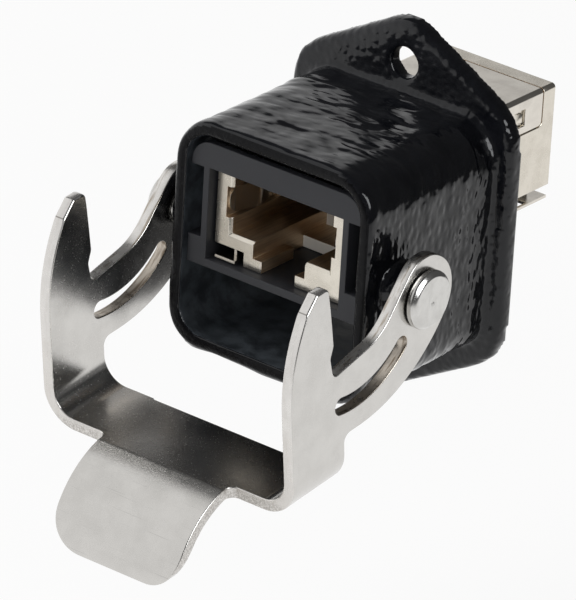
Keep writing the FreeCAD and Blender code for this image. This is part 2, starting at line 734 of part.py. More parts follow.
def make_pieces():
    pin = make_pin()
    front_shell = make_shell(FRONT_SHELL_W, FRONT_SHELL_TOP, FRONT_SHELF_T, FRONT_KEY_W, FRONT_SHELL_L)
    pieces = {
        "housing": make_housing(),
        "panel_seal": make_seal(),
        "locking_lever": make_lever(),
        "pivot_pin_right": pin,
        "pivot_pin_left": mirrored(pin),
        "insert_frame": make_insert(),
        "front_shell": at_front(front_shell),
        "rear_shell": at_rear(make_rear_shell()),
        "rear_shield": at_rear(make_shield()),
        "coupler_board": make_board(),
    }
    pieces.update(jack_half("front", at_front, FRONT_SHELL_L, FRONT_SHELL_W, FRONT_SHELF_T))
    pieces.update(jack_half("rear", at_rear, REAR_SHELL_L, REAR_SHELL_W, REAR_SHELF_T))
    return pieces


def main():
    os.makedirs("parts", exist_ok=True)
    for name, shape in make_pieces().items():
        print(name, shape.isValid(), len(shape.Solids), round(shape.Volume, 3))
        shape.exportStep(f"parts/{name}.step")


main()
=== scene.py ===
import json
import math

import bmesh
import bpy
from mathutils import Matrix, Vector, noise
from mathutils.bvhtree import BVHTree


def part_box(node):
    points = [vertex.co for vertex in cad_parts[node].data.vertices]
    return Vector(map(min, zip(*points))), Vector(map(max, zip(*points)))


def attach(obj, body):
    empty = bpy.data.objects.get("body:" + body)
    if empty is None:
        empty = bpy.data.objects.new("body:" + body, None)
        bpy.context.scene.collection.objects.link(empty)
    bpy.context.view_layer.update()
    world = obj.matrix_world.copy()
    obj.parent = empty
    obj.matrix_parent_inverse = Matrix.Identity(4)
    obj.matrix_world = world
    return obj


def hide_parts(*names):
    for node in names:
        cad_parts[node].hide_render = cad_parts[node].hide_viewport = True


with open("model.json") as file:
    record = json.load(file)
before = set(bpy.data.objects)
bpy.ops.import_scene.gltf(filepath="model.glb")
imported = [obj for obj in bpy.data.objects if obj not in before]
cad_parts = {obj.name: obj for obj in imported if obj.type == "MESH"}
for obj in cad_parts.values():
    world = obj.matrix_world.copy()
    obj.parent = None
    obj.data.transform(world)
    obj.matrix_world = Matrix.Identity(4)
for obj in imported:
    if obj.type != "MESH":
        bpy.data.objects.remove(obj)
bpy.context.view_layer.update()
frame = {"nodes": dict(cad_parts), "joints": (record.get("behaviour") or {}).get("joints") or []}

# Panel feedthrough with a locking lever: finishes, rounded edges, light and camera. Metres throughout.

MM = 0.001

# View of the photograph, in a frame of 576 by 600
VIEW_AZIMUTH = math.radians(37.447)
VIEW_ELEVATION = math.radians(25.174)
VIEW_ROLL = math.radians(3.472)
VIEW_DISTANCE = 690.8 * MM
VIEW_AIM = Vector((-6.04, -9.95, -9.87)) * MM
SENSOR_WIDTH = 36.0
LENS = 437.5
CLIP_NEAR = 0.01
CLIP_FAR = 20.0

# Studio: a floor that mirrors show white near the part, and on the left a bright low wall and a high panel
FLOOR_Z = -42.0 * MM
FLOOR_SIZE = 6.0
FLOOR_WHITE = 0.86
FLOOR_GLOW = 0.92
FLOOR_BRIGHT = 0.13
FLOOR_DARK = 0.34
BRIGHT_SIDE = Vector((-0.98, -0.15, 0.10)).normalized()
BRIGHT_START = 0.28
BRIGHT_FULL = 0.58
WALL_FULL = 0.50
WALL_END = 0.62
PANEL_FULL = -0.05
PANEL_END = 0.12
DARK_LEVEL = 0.09
BRIGHT_LEVEL = 0.96
AMBIENT = 0.8

# Softboxes: name, place, size, watts, colour and the rays that don't see it
SOFTBOXES = (
    ("key softbox", (-0.42, -0.22, 0.55), 0.55, 3.0, (1.0, 0.985, 0.96), "visible_glossy"),
    ("side softbox", (0.64, -0.11, 0.375), 0.50, 4.6, (0.96, 0.98, 1.0), "visible_diffuse"),
    ("front fill", (0.30, -0.60, 0.28), 0.40, 1.6, (1.0, 1.0, 1.0), "visible_glossy"),
)

# Merging, corners, and the radii and steps of the rounded edges
MERGE = 0.0005 * MM
RAY_START = 0.01 * MM
FLAT_ANGLE = math.radians(0.6)
CORNER_ANGLE = math.radians(20.0)
SHARP_ANGLE = math.radians(40.0)
FLAT_FACE_WEIGHT = 50
FINGER_EDGE = 0.24 * MM
LEVER_EDGE = 0.12 * MM
PIN_EDGE = 0.12 * MM
INSERT_EDGE = 0.10 * MM
SHELL_EDGE = 0.06 * MM
SHIELD_EDGE = 0.05 * MM
FINE_STEPS = 3
PLAIN_STEPS = 2

# Numbers of the materials on a piece with more than one
COAT_OUTSIDE, COAT_CAVITY, COAT_RIM = 0, 1, 2
SHEARED = 1
# the tunnel's plating paints shade and the end walls' plating paints light, both copies of the shell plating
TUNNEL, END_WALL = 1, 2

# Shared effects: grain and its specks, drift, and pebbles of a thick coat
GRAIN_FINER = 3.7
SPECK_LOW = 0.6
SPECK_HIGH = 0.72
DRIFT_LOW = 0.32
DRIFT_HIGH = 0.68
METAL_DRIFT = 2.6 * MM
PLASTIC_DRIFT = 2.2 * MM
PLASTIC_GRAIN = 0.2 * MM
PEBBLE_SIZE = 0.8 * MM
PEBBLE_HEIGHT = 0.05 * MM
PEBBLE_TOP = 0.05
PEBBLE_VALLEY = 0.75
PEBBLE_WAVES = 1.4
WAVE_SHARE = 0.5

# Coat of the housing: runs on the top, drops on the sides, and the lumps that the mesh carries
RUN_STRETCH = (0.5, 1.1, 0.5)
RUN_HEIGHT = 0.6
DROP_STRETCH = (1.0, 1.1, 0.7)
DROP_HEIGHT = 1.2
PEEL_BOX_END = -3.2 * MM
PEEL_FLANGE_START = -1.9 * MM
COAT_VOXEL = 0.25 * MM
COAT_SMOOTHING = 2
COAT_SMOOTH_STEP = 0.4
FLANGE_SMOOTHING = 18
FLANGE_SMOOTH_STEP = 0.5
COAT_BUILD = 0.04 * MM
LUMP_SIZE = 1.8 * MM
LUMP_STRETCH = Vector((0.4, 1.0, 0.6))
LUMP_HEIGHT = 0.19 * MM
SWIRL_SIZE = 0.6
SWIRL_SHIFTS = (Vector((0, 0, 0)), Vector((7, 3, 1)), Vector((2, 9, 5)))
BROAD_SIZE = 0.8
BROAD_SWIRL = 0.7
FINE_SIZE = 1.7
FINE_SHARE = 0.5
FLANGE_LUMPS = 0.18
RIM_LUMPS = 0.35
SIDE_BLEND = 1.5 * MM
SIDE_CALM = 0.5

# Housing, from its node: its box, cavity, rim, bosses and flange
HOUSING_LOW, HOUSING_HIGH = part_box("housing")
INSERT_LOW, INSERT_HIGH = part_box("insert_frame")
BOSS_FACE = HOUSING_HIGH.x
BOX_SIDE = BOSS_FACE - 2.1 * MM
BOSS_START = BOX_SIDE + 0.1 * MM
BOSS_REAR = -8.0 * MM
CAVITY_SIDE = INSERT_HIGH.x + 0.15 * MM
CAVITY_R = 3.0 * MM
CAVITY_SLACK = 0.35 * MM
RIM_FACE = HOUSING_LOW.y + 0.14 * MM
RIM_BACK = HOUSING_LOW.y + 0.3 * MM
FLANGE_FRONT = -2.4 * MM
FLANGE_REAR = -0.25 * MM
FLANGE_OUT = 0.8 * MM
EDGE_FRONT = -2.2 * MM
EDGE_REAR = -0.1 * MM

# Insert: where its open face ends, and where its painted shade is at its darkest
INSERT_OPEN = INSERT_LOW.y + 0.3 * MM
INSERT_DEEP = INSERT_LOW.y + 2.5 * MM
INSERT_PAINTED_SHADE = 0.8

# Locking lever: its sheet, its tab, its arms, and its eyes on the pivot
PIVOT = Vector(frame["joints"][0]["pos_m"])
SHEET_T = 1.25 * MM
CUT_DEPTH = 1.5 * SHEET_T
PLATE_MIDDLE = BOSS_FACE + 0.18 * MM + SHEET_T / 2
LEVER_OPEN = math.radians(7.5)
FINGER_CREASE = 6.5 * MM
# width and strength of the painted shade line at the finger's crease
CREASE_HALF = 0.03 * MM
CREASE_END = 0.08 * MM
CREASE_SHADE_SHARE = 0.8
TORN_START = PLATE_MIDDLE - 0.1 * MM
TORN_END = PLATE_MIDDLE + 0.15 * MM
TORN_MOST = 0.07
TORN_LEAST = 0.02
TAB_TOP = -16.0 * MM
TAB_BLEND = 1.0 * MM
TAB_WEAR = 0.55
SPOT_LOW = 0.66
SPOT_HIGH = 0.92
ARM_EDGE = -28.0 * MM
ARM_BLEND = 3.0 * MM
FRONT_STREAKS = 0.12
SLOT_LINE = 6.6 * MM
SLOT_BLEND = 1.0 * MM
SLOT_SLOPE = 0.4
EYE_R = 4.4 * MM
EYE_SLACK = 0.3 * MM
EYE_EASE = 2.4 * MM
EYE_CUTS = 12
EYE_STEPS = 8
HAIRLINE_SHARE = 0.4
PIT_ROUGHNESS = 0.08
RING_PITCH = 0.24 * MM

# Jack: how deep its end wall lies, and how squarely that looks out of the mouth, for its painted light
END_WALL_DEPTH = 5.0 * MM
END_WALL_FACING = 0.9
CONTACTS = 8


def add_node(tree, kind, inputs=None, **settings):
    """A shader node with its settings, and its input values or links by socket name or number."""
    node = tree.nodes.new(kind)
    for name, value in settings.items():
        setattr(node, name, value)
    for name, value in (inputs or {}).items():
        if isinstance(value, bpy.types.NodeSocket):
            tree.links.new(value, node.inputs[name])
        else:
            node.inputs[name].default_value = value
    return node


def new_group(name, values, results):
    """A shader node group that takes a vector and named values, and gives named values."""
    tree = bpy.data.node_groups.new(name, "ShaderNodeTree")
    tree.interface.new_socket("Vector", in_out="INPUT", socket_type="NodeSocketVector")
    for label in values:
        tree.interface.new_socket(label, in_out="INPUT", socket_type="NodeSocketFloat")
    for label in results:
        tree.interface.new_socket(label, in_out="OUTPUT", socket_type="NodeSocketFloat")
    given = tree.nodes.new("NodeGroupInput")
    out = tree.nodes.new("NodeGroupOutput")
    return tree, given.outputs, out.inputs


def noise_at(tree, vector, scale, detail=2.0, rough=0.5):
    """A noise texture's value, about 0.5 in the middle."""
    inputs = {"Vector": vector, "Scale": scale, "Detail": detail, "Roughness": rough}
    return add_node(tree, "ShaderNodeTexNoise", inputs).outputs["Fac"]


def spread(tree, value, low, high, to_low=0.0, to_high=1.0):
    """A value mapped smoothly from one range to another."""
    inputs = {"Value": value, "From Min": low, "From Max": high, "To Min": to_low, "To Max": to_high}
    node = add_node(tree, "ShaderNodeMapRange", inputs, interpolation_type="SMOOTHSTEP")
    return node.outputs["Result"]


def calculate(tree, operation, first, second=0.0):
    return add_node(tree, "ShaderNodeMath", {0: first, 1: second}, operation=operation).outputs[0]


def dot(tree, first, second):
    node = add_node(tree, "ShaderNodeVectorMath", {0: first, 1: second}, operation="DOT_PRODUCT")
    return node.outputs["Value"]


def length_of(tree, vector):
    return add_node(tree, "ShaderNodeVectorMath", {0: vector}, operation="LENGTH").outputs["Value"]


def axes_of(tree, vector):
    return add_node(tree, "ShaderNodeSeparateXYZ", {"Vector": vector}).outputs


def mixed_value(tree, factor, first, second):
    return add_node(tree, "ShaderNodeMix", {"Factor": factor, "A": first, "B": second}).outputs["Result"]


def mixed_colour(tree, factor, first, second):
    """A mix of two colours, each a link or a red, green and blue."""
    mix = add_node(tree, "ShaderNodeMix", {"Factor": factor}, data_type="RGBA")
    for name, colour in (("A", first), ("B", second)):
        socket = next(one for one in mix.inputs if one.name == name and one.type == "RGBA")
        if isinstance(colour, bpy.types.NodeSocket):
            tree.links.new(colour, socket)
        else:
            socket.default_value = (*colour, 1.0)
    return next(one for one in mix.outputs if one.type == "RGBA")


def make_grain_group():
    """Fine surface grain: a height from two sizes of noise, and a mask of small dark specks."""
    tree, given, out = new_group("surface grain", ("Grain", "Fine share", "Speck"), ("Height", "Specks"))
    coarse = noise_at(tree, given["Vector"], given["Grain"], detail=3.0)
    finer = calculate(tree, "MULTIPLY", given["Grain"], GRAIN_FINER)
    fine = noise_at(tree, given["Vector"], finer)
    fine_part = calculate(tree, "MULTIPLY", fine, given["Fine share"])
    tree.links.new(calculate(tree, "ADD", coarse, fine_part), out["Height"])
    specks = noise_at(tree, given["Vector"], given["Speck"], detail=4.0, rough=0.65)
    tree.links.new(spread(tree, specks, SPECK_LOW, SPECK_HIGH), out["Specks"])
    return tree


def make_drift_group():
    """Slow drift of a finish: a value between two limits, smudged by handling."""
    tree, given, out = new_group("finish drift", ("Size", "Low", "High"), ("Value", "Mask"))
    slow = noise_at(tree, given["Vector"], given["Size"], detail=4.0, rough=0.6)
    mask = spread(tree, slow, DRIFT_LOW, DRIFT_HIGH)
    span = calculate(tree, "SUBTRACT", given["High"], given["Low"])
    rise = calculate(tree, "MULTIPLY", mask, span)
    tree.links.new(calculate(tree, "ADD", given["Low"], rise), out["Value"])
    tree.links.new(mask, out["Mask"])
    return tree


def make_pebble_group():
    """Peel of a thick coat: round pebbles with valleys between them, stirred by a slow noise."""
    tree, given, out = new_group("coat pebbles", ("Pebbles",), ("Height",))
    slower = calculate(tree, "MULTIPLY", given["Pebbles"], WAVE_SHARE)
    slow = noise_at(tree, given["Vector"], slower)
    inputs = {"Vector": given["Vector"], "Scale": given["Pebbles"], "Smoothness": 0.6, "Randomness": 0.95}
    cells = add_node(tree, "ShaderNodeTexVoronoi", inputs, feature="SMOOTH_F1")
    pebbles = spread(tree, cells.outputs["Distance"], PEBBLE_TOP, PEBBLE_VALLEY, 1.0, 0.0)
    waves = calculate(tree, "MULTIPLY", slow, PEBBLE_WAVES)
    tree.links.new(calculate(tree, "ADD", pebbles, waves), out["Height"])
    return tree


def make_streak_group():
    """Drawn lines of a worked metal: a mask and a height of fine streaks."""
    tree, given, out = new_group("worked streaks", ("Low", "High"), ("Mask", "Height"))
    lines = noise_at(tree, given["Vector"], 1.0, detail=3.0, rough=0.6)
    tree.links.new(lines, out["Height"])
    tree.links.new(spread(tree, lines, given["Low"], given["High"]), out["Mask"])
    return tree


GRAIN = make_grain_group()
DRIFT = make_drift_group()
PEBBLES = make_pebble_group()
STREAKS = make_streak_group()


def add_grain(tree, place, size, fine_share=0.5, speck=1.0 * MM):
    """Height and Specks of a grain."""
    inputs = {"Vector": place, "Grain": 1.0 / size, "Fine share": fine_share, "Speck": 1.0 / speck}
    return add_node(tree, "ShaderNodeGroup", inputs, node_tree=GRAIN).outputs


def add_drift(tree, place, size, low, high):
    """Value and Mask of a drift."""
    inputs = {"Vector": place, "Size": 1.0 / size, "Low": low, "High": high}
    return add_node(tree, "ShaderNodeGroup", inputs, node_tree=DRIFT).outputs


def add_streaks(tree, place, size, low, high, turn=(0, 0, 0)):
    """Mask and Height of streaks whose lengths along X, Y and Z are given by size."""
    scale = [1.0 / length for length in size]
    turned = add_node(tree, "ShaderNodeMapping", {"Vector": place, "Rotation": turn, "Scale": scale})
    inputs = {"Vector": turned.outputs["Vector"], "Low": low, "High": high}
    return add_node(tree, "ShaderNodeGroup", inputs, node_tree=STREAKS).outputs


def add_pebbles(tree, place, stretch=(1, 1, 1)):
    """Height of pebbles that are drawn out along the axes."""
    drawn = add_node(tree, "ShaderNodeMapping", {"Vector": place, "Scale": stretch}).outputs["Vector"]
    inputs = {"Vector": drawn, "Pebbles": 1.0 / PEBBLE_SIZE}
    return add_node(tree, "ShaderNodeGroup", inputs, node_tree=PEBBLES).outputs["Height"]


def new_finish(name, metal=0.0, shine=0.5):
    """An empty node material: itself, its tree, its shader and its object coordinates."""
    material = bpy.data.materials.new(name)
    material.use_nodes = True
    tree = material.node_tree
    shader = tree.nodes["Principled BSDF"]
    shader.inputs["Metallic"].default_value = metal
    shader.inputs["Specular IOR Level"].default_value = shine
    place = add_node(tree, "ShaderNodeTexCoord").outputs["Object"]
    return material, tree, shader, place


def connect(tree, shader, colour, rough, height, depth):
    """Gives a shader its colour, its roughness and the bump of a height."""
    tree.links.new(colour, shader.inputs["Base Color"])
    tree.links.new(rough, shader.inputs["Roughness"])
    bump = add_node(tree, "ShaderNodeBump", {"Height": height, "Distance": depth, "Strength": 1.0})
    tree.links.new(bump.outputs["Normal"], shader.inputs["Normal"])


def even_finish(name, first, second, rough, drift, grain, depth, metal=0.0, shine=0.5):
    """A finish that is alike all over: two colours and two roughnesses that drift, and a fine grain."""
    material, tree, shader, place = new_finish(name, metal, shine)
    drifting = add_drift(tree, place, drift, *rough)
    colour = mixed_colour(tree, drifting["Mask"], first, second)
    connect(tree, shader, colour, drifting["Value"], add_grain(tree, place, grain)["Height"], depth)
    return material


def black_coat():
    """Glossy black powder coat: runs on the top, drops on the sides and pebbles on the flange."""
    material, tree, shader, place = new_finish("black powder coat", shine=0.36)
    drifting = add_drift(tree, place, size=3.0 * MM, low=0.08, high=0.15)
    runs = calculate(tree, "MULTIPLY", add_pebbles(tree, place, RUN_STRETCH), RUN_HEIGHT)
    drops = calculate(tree, "MULTIPLY", add_pebbles(tree, place, DROP_STRETCH), DROP_HEIGHT)
    axes = axes_of(tree, place)
    across = calculate(tree, "ABSOLUTE", axes["X"])
    on_side = spread(tree, across, BOX_SIDE - SIDE_BLEND / 2, BOX_SIDE)
    on_flange = spread(tree, axes["Y"], PEEL_BOX_END, PEEL_FLANGE_START)
    on_box = mixed_value(tree, on_side, runs, drops)
    peel = mixed_value(tree, on_flange, on_box, add_pebbles(tree, place))
    colour = mixed_colour(tree, drifting["Mask"], (0.004, 0.0044, 0.0062), (0.008, 0.0086, 0.0110))
    connect(tree, shader, colour, drifting["Value"], peel, PEBBLE_HEIGHT)
    return material


def rim_coat():
    """Thin coat on the rim's front: less shine, with a fine grain."""
    material, tree, shader, place = new_finish("thin coat on the rim", shine=0.11)
    rough = add_drift(tree, place, size=1.2 * MM, low=0.1, high=0.24)["Value"]
    grain = add_grain(tree, place, size=0.6 * MM, fine_share=0.3, speck=0.8 * MM)
    colour = mixed_colour(tree, grain["Specks"], (0.005, 0.005, 0.0058), (0.012, 0.012, 0.013))
    connect(tree, shader, colour, rough, grain["Height"], depth=0.07 * MM)
    return material


def cavity_coat():
    """Thin, dull coat inside the housing."""
    return even_finish("dull coat in the cavity", (0.019, 0.022, 0.026), (0.050, 0.058, 0.067),
                       rough=(0.42, 0.56), drift=1.7 * MM, grain=0.35 * MM, depth=0.012 * MM, shine=0.15)


def seal_rubber():
    return even_finish("seal rubber", (0.018, 0.018, 0.019), (0.03, 0.03, 0.031),
                       rough=(0.6, 0.75), drift=2.0 * MM, grain=0.12 * MM, depth=0.006 * MM)


def tumbled_steel():
    """Stainless sheet, tumbled: a fine even grain with small pits, and a few hairlines from handling."""
    material, tree, shader, place = new_finish("tumbled stainless sheet", metal=1.0)
    drifting = add_drift(tree, place, size=3.0 * MM, low=0.21, high=0.27)
    grain = add_grain(tree, place, size=0.26 * MM, fine_share=0.4, speck=0.22 * MM)
    pits = calculate(tree, "MULTIPLY", grain["Specks"], PIT_ROUGHNESS)
    rough = calculate(tree, "ADD", drifting["Value"], pits)
    size = (8.0 * MM, 0.12 * MM, 0.12 * MM)
    lines = add_streaks(tree, place, size, low=0.64, high=0.70, turn=(0, 0, 0.05))["Mask"]
    hairlines = calculate(tree, "MULTIPLY", lines, HAIRLINE_SHARE)
    plain = mixed_colour(tree, drifting["Mask"], (0.635, 0.62, 0.595), (0.60, 0.585, 0.56))
    colour = mixed_colour(tree, hairlines, plain, (0.40, 0.39, 0.375))
    connect(tree, shader, colour, rough, grain["Height"], depth=0.003 * MM)
    return material


def finger_crease_shade(tree, axes):
    """A mask of the painted shade line across a catch finger's edge, at its crease one height over the
    pivot.
    """
    lift = calculate(tree, "MULTIPLY", axes["Z"], math.cos(LEVER_OPEN))
    forward = calculate(tree, "SUBTRACT", axes["Y"], PIVOT.y)
    reach = calculate(tree, "MULTIPLY", forward, math.sin(LEVER_OPEN))
    height = calculate(tree, "SUBTRACT", lift, reach)
    away = calculate(tree, "ABSOLUTE", calculate(tree, "SUBTRACT", height, FINGER_CREASE))
    return spread(tree, away, CREASE_HALF, CREASE_END, CREASE_SHADE_SHARE, 0.0)


def sheared_steel():
    """Cut edge of the sheet: mottled, most on the tab, streaked along the arms, and darker and browner in
    the slots as painted shade.
    """
    material, tree, shader, place = new_finish("sheared stainless edge", metal=1.0)
    rough = add_drift(tree, place, size=1.4 * MM, low=0.22, high=0.36)["Value"]
    grain = add_grain(tree, place, size=0.16 * MM, fine_share=0.6)["Height"]
    axes = axes_of(tree, place)
    across = calculate(tree, "ABSOLUTE", axes["X"])
    torn = spread(tree, across, TORN_START, TORN_END, TORN_MOST, TORN_LEAST)
    on_tab = spread(tree, axes["Z"], TAB_TOP - TAB_BLEND, TAB_TOP, TAB_WEAR, 0.0)
    worn = calculate(tree, "MAXIMUM", torn, on_tab)
    spots = calculate(tree, "MULTIPLY", spread(tree, grain, SPOT_LOW, SPOT_HIGH), worn)
    on_arm = spread(tree, axes["Y"], ARM_EDGE - ARM_BLEND, ARM_EDGE, FRONT_STREAKS, 1.0)
    lines = add_streaks(tree, place, (0.3 * MM, 3.0 * MM, 3.0 * MM), low=0.48, high=0.68)["Mask"]
    streaks = calculate(tree, "MULTIPLY", lines, on_arm)
    outline = mixed_colour(tree, streaks, (0.74, 0.72, 0.695), (0.40, 0.35, 0.29))
    # painted shade: the darker, browner colour of the cut edge inside the arm slots
    slot = mixed_colour(tree, streaks, (0.50, 0.45, 0.39), (0.22, 0.175, 0.13))
    slope = calculate(tree, "MULTIPLY", axes["Y"], SLOT_SLOPE)
    over_slot = calculate(tree, "SUBTRACT", axes["Z"], slope)
    low_on_arm = spread(tree, over_slot, SLOT_LINE - SLOT_BLEND, SLOT_LINE, 1.0, 0.0)
    in_slot = calculate(tree, "MULTIPLY", on_arm, low_on_arm)
    streaks_and_slot_shade = mixed_colour(tree, in_slot, outline, slot)
    # the dark colour paints the real torn spots and a painted shade line at the finger's crease
    spots_and_crease_shade = calculate(tree, "MAXIMUM", spots, finger_crease_shade(tree, axes))
    colour = mixed_colour(tree, spots_and_crease_shade, streaks_and_slot_shade, (0.22, 0.205, 0.185))
    connect(tree, shader, colour, rough, calculate(tree, "MULTIPLY", grain, worn), depth=0.02 * MM)
    return material


def turned_steel():
    """Turned stainless: faint rings round the pivot's axis."""
    material, tree, shader, place = new_finish("turned stainless", metal=1.0)
    drifting = add_drift(tree, place, size=1.6 * MM, low=0.16, high=0.24)
    inputs = {"Vector": place, "Location": (0, -PIVOT.y, -PIVOT.z), "Scale": (0, 1, 1)}
    from_axis = length_of(tree, add_node(tree, "ShaderNodeMapping", inputs).outputs["Vector"])
    rings = calculate(tree, "SINE", calculate(tree, "MULTIPLY", from_axis, math.tau / RING_PITCH))
    height = calculate(tree, "ADD", rings, add_grain(tree, place, size=0.22 * MM)["Height"])
    colour = mixed_colour(tree, drifting["Mask"], (0.63, 0.62, 0.60), (0.57, 0.56, 0.54))
    connect(tree, shader, colour, drifting["Value"], height, depth=0.0022 * MM)
    return material


def tunnel_nickel_painted_shade():
    """Plating inside a jack's mouth, made darker and browner as painted shade, with lines drawn along its
    depth.
    """
    material, tree, shader, place = new_finish("plating in the mouth with painted shade", metal=1.0)
    rough = add_drift(tree, place, size=1.5 * MM, low=0.42, high=0.54)["Value"]
    lines = add_streaks(tree, place, (0.22 * MM, 5.0 * MM, 0.22 * MM), low=0.35, high=0.7)
    colour = mixed_colour(tree, lines["Mask"], (0.70, 0.54, 0.38), (0.54, 0.40, 0.27))
    connect(tree, shader, colour, rough, lines["Height"], depth=0.006 * MM)
    return material


def cast_nickel():
    return even_finish("nickel on casting", (0.72, 0.675, 0.595), (0.66, 0.615, 0.535), rough=(0.22, 0.3),
                       drift=METAL_DRIFT, grain=0.2 * MM, depth=0.007 * MM, metal=1.0)


def end_wall_nickel_painted_light():
    # painted light: a paler, less metallic copy of the plating for the faces that look out of the mouth
    return even_finish("end wall plating paled as painted light", (0.86, 0.83, 0.77), (0.78, 0.75, 0.69),
                       rough=(0.42, 0.52), drift=METAL_DRIFT, grain=0.16 * MM, depth=0.01 * MM, metal=0.4)


def sheet_nickel():
    return even_finish("nickel on sheet", (0.72, 0.68, 0.615), (0.67, 0.63, 0.57), rough=(0.18, 0.26),
                       drift=METAL_DRIFT, grain=0.2 * MM, depth=0.004 * MM, metal=1.0)


def contact_gold():
    return even_finish("contact gold", (0.90, 0.62, 0.22), (0.84, 0.55, 0.18), rough=(0.16, 0.24),
                       drift=METAL_DRIFT, grain=0.2 * MM, depth=0.001 * MM, metal=1.0)


def carrier_plastic():
    return even_finish("carrier plastic", (0.02, 0.02, 0.021), (0.03, 0.03, 0.031), rough=(0.42, 0.52),
                       drift=PLASTIC_DRIFT, grain=PLASTIC_GRAIN, depth=0.004 * MM)


def board_laminate():
    return even_finish("board laminate", (0.02, 0.12, 0.05), (0.03, 0.16, 0.07), rough=(0.35, 0.45),
                       drift=PLASTIC_DRIFT, grain=PLASTIC_GRAIN, depth=0.003 * MM)


def insert_plastic():
    """Dark grey moulding with a fine grain, with painted shade that blackens it deeper behind its open face,
    in its slots and under the jack.
    """
    material, tree, shader, place = new_finish("insert plastic")
    drifting = add_drift(tree, place, PLASTIC_DRIFT, low=0.48, high=0.6)
    grain = add_grain(tree, place, PLASTIC_GRAIN)["Height"]
    open_face = mixed_colour(tree, drifting["Mask"], (0.0195, 0.0205, 0.0245), (0.026, 0.027, 0.0315))
    # painted shade: the moulding is mixed towards black the deeper it lies behind its open face
    painted_shade = spread(tree, axes_of(tree, place)["Y"], INSERT_OPEN, INSERT_DEEP, 0.0, INSERT_PAINTED_SHADE)
    colour = mixed_colour(tree, painted_shade, open_face, (0.0045, 0.0048, 0.006))
    connect(tree, shader, colour, drifting["Value"], grain, depth=0.008 * MM)
    return material


def new_object(name, bm):
    """An object in the scene that takes over a bmesh."""
    mesh = bpy.data.meshes.new(name)
    bm.to_mesh(mesh)
    bm.free()
    made = bpy.data.objects.new(name, mesh)
    bpy.context.scene.collection.objects.link(made)
    return made


def new_piece(name, bm, body, node, slot, *materials):
    """A finished mesh that stands for a node, on its body, with its materials. Its slot is not used."""
    piece = new_object(name, bm)
    for material in materials:
        piece.data.materials.append(material)
    piece.data.shade_smooth()
    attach(piece, body)
    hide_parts(node)
    return piece


def merged_mesh(node):
    """A copy of a node's mesh with its doubles merged."""
    bm = bmesh.new()
    bm.from_mesh(frame["nodes"][node].data)
    bmesh.ops.remove_doubles(bm, verts=bm.verts[:], dist=MERGE)
    return bm


def join_flat(bm, *limits):
    """Joins the faces that lie flat beside each other."""
    bmesh.ops.dissolve_limit(bm, angle_limit=FLAT_ANGLE, verts=bm.verts[:], edges=bm.edges[:],
                             delimit=set(limits))


def node_mesh(node):
    """A merged copy of a node's mesh, with its flat faces joined."""
    bm = merged_mesh(node)
    join_flat(bm)
    for face in bm.faces:
        face.material_index = 0
    return bm


def sharp_edges(bm):
    return [edge for edge in bm.edges if edge.is_manifold and edge.calc_face_angle() > SHARP_ANGLE]


def round_edges(bm, radius, segments, sharp=None):
    """Rounds the given edges, or every sharp edge."""
    if sharp is None:
        sharp = sharp_edges(bm)
    bmesh.ops.bevel(bm, geom=sharp, offset=radius, offset_type="OFFSET", affect="EDGES", segments=segments,
                    profile=0.5, material=-1, clamp_overlap=False)


def weigh_normals(piece):
    """Flat faces stay flat, and the rounded edges blend into them."""
    keeper = piece.modifiers.new("face weighted normals", "WEIGHTED_NORMAL")
    keeper.mode = "FACE_AREA"
    keeper.weight = FLAT_FACE_WEIGHT


def rounded_copy(node, slot, radius, segments, *materials):
    """A copy of a node of the base with rounded edges."""
    bm = node_mesh(node)
    round_edges(bm, radius, segments)
    weigh_normals(new_piece(node + "_finish", bm, "base", node, slot, *materials))


def next_face(tree, face, heading):
    """Distance from a face along its normal times heading to the piece's next face, or None."""
    toward = face.normal * heading
    start = face.calc_center_median() + toward * RAY_START
    return tree.ray_cast(start, toward)[3]


def mark_tunnel(bm):
    """Gives a shell's second material to the faces that look at another face: the inside of its tunnel,
    where that plating paints shade.
    """
    bmesh.ops.triangulate(bm, faces=bm.faces[:])
    tree = BVHTree.FromBMesh(bm)
    for face in bm.faces:
        if next_face(tree, face, 1) is not None:
            face.material_index = TUNNEL
    join_flat(bm, "MATERIAL")


def mark_end_walls(bm, mouth, inward):
    """Gives a shell's third material to the faces deep in the jack that look out of its mouth: a paler, less
    metallic plating that paints the light coming in through the mouth.
    """
    for face in bm.faces:
        depth = (face.calc_center_median().y - mouth) * inward
        if depth > END_WALL_DEPTH and face.normal.y * inward < -END_WALL_FACING:
            face.material_index = END_WALL


def make_shell(node, inward, *materials):
    """A coupler shell with rounded edges: its outside in its plating, its tunnel in a darker copy as painted
    shade, and its end walls in a paler copy as painted light.
    """
    low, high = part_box(node)
    bm = node_mesh(node)
    mark_tunnel(bm)
    mark_end_walls(bm, low.y if inward > 0 else high.y, inward)
    round_edges(bm, SHELL_EDGE, PLAIN_STEPS)
    weigh_normals(new_piece(node + "_finish", bm, "base", node, "nickel_cast", *materials))


def mark_sheared(bm):
    """Gives the second material to the cut edges: the faces with more metal behind them than a sheet."""
    bmesh.ops.triangulate(bm, faces=bm.faces[:])
    tree = BVHTree.FromBMesh(bm)
    for face in bm.faces:
        depth = next_face(tree, face, -1)
        if depth is None or depth > CUT_DEPTH:
            face.material_index = SHEARED
    join_flat(bm, "MATERIAL")


def lever_height(point):
    """How far a point is above the pivot in the lever's own direction."""
    return point.z * math.cos(LEVER_OPEN) - (point.y - PIVOT.y) * math.sin(LEVER_OPEN)


def side_distance(point, spot):
    """Distance between two points seen along X."""
    return math.hypot(point.y - spot.y, point.z - spot.z)


def along_outline(edge):
    """True for an edge that runs along the sheet's outline, on one side of it."""
    first, second = edge.verts
    one_side = abs(first.co.x - second.co.x) < MERGE
    return one_side and any(face.material_index == SHEARED for face in edge.link_faces)


